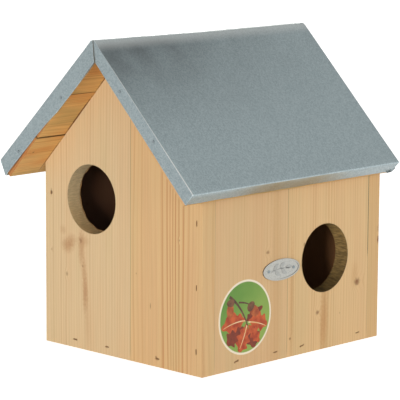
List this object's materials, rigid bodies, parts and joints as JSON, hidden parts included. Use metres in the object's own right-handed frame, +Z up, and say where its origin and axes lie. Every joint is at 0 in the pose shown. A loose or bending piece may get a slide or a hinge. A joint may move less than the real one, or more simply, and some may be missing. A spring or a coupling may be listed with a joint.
{
  "type": "squirrel house",
  "caption": "Timber squirrel house with a folded metal gable roof, round entrances in the front and side, and a top-hung side wall that swings open for cleaning.",
  "frame": {"origin": "on the ground, under the middle of the wall box, on the underside of the floor", "axes": "+Z up to the ridge, -Y out of the front gable with the high entrance, +X out of the right wall with the low entrance"},
  "size_m": [0.2928, 0.3261, 0.343],
  "materials": {
    "wall_pine": "planed, untreated softwood",
    "roof_pine": "planed, untreated softwood, darker and more orange",
    "zinc_sheet": "dull galvanised sheet with fine spangle",
    "nail_steel": "flat wire, dulled",
    "plated_steel": "zinc plated",
    "plaque_metal": "stamped, satin, dull silver",
    "label_film": "printed film, satin"
  },
  "bodies": {
    "house": {"front_board_left": "wall_pine", "front_board_right": "wall_pine", "back_board_left": "wall_pine", "back_board_right": "wall_pine", "side_board_front": "wall_pine", "side_board_rear": "wall_pine", "floor_board_front": "wall_pine", "floor_board_rear": "wall_pine", "roof_left_top": "roof_pine", "roof_left_middle": "roof_pine", "roof_left_eave": "roof_pine", "roof_right_top": "roof_pine", "roof_right_middle": "roof_pine", "roof_right_eave": "roof_pine", "zinc_roof": "zinc_sheet", "front_staples": "nail_steel", "back_staples": "nail_steel", "side_staples": "nail_steel", "roof_staples": "nail_steel", "zinc_tacks": "plated_steel", "door_pivot_front": "nail_steel", "door_pivot_back": "nail_steel", "turn_button_screw": "plated_steel", "hanger_plate": "plated_steel", "hanger_screws": "plated_steel", "plaque": "plaque_metal", "plaque_tacks": "plaque_metal", "picture_label": "label_film"},
    "door": {"door_board_front": "wall_pine", "door_board_rear": "wall_pine"},
    "button": {"turn_button": "plated_steel"}
  },
  "joints": [
    {"name": "door_hinge", "type": "hinge", "parent": "house", "child": "door", "pos_m": [-0.111, 0, 0.167], "axis": [0, 1, 0], "range_deg": [0, 100]},
    {"name": "button_turn", "type": "hinge", "parent": "house", "child": "button", "pos_m": [-0.12, 0.131, 0.038], "axis": [1, 0, 0], "range_deg": [0, 90]}
  ]
}
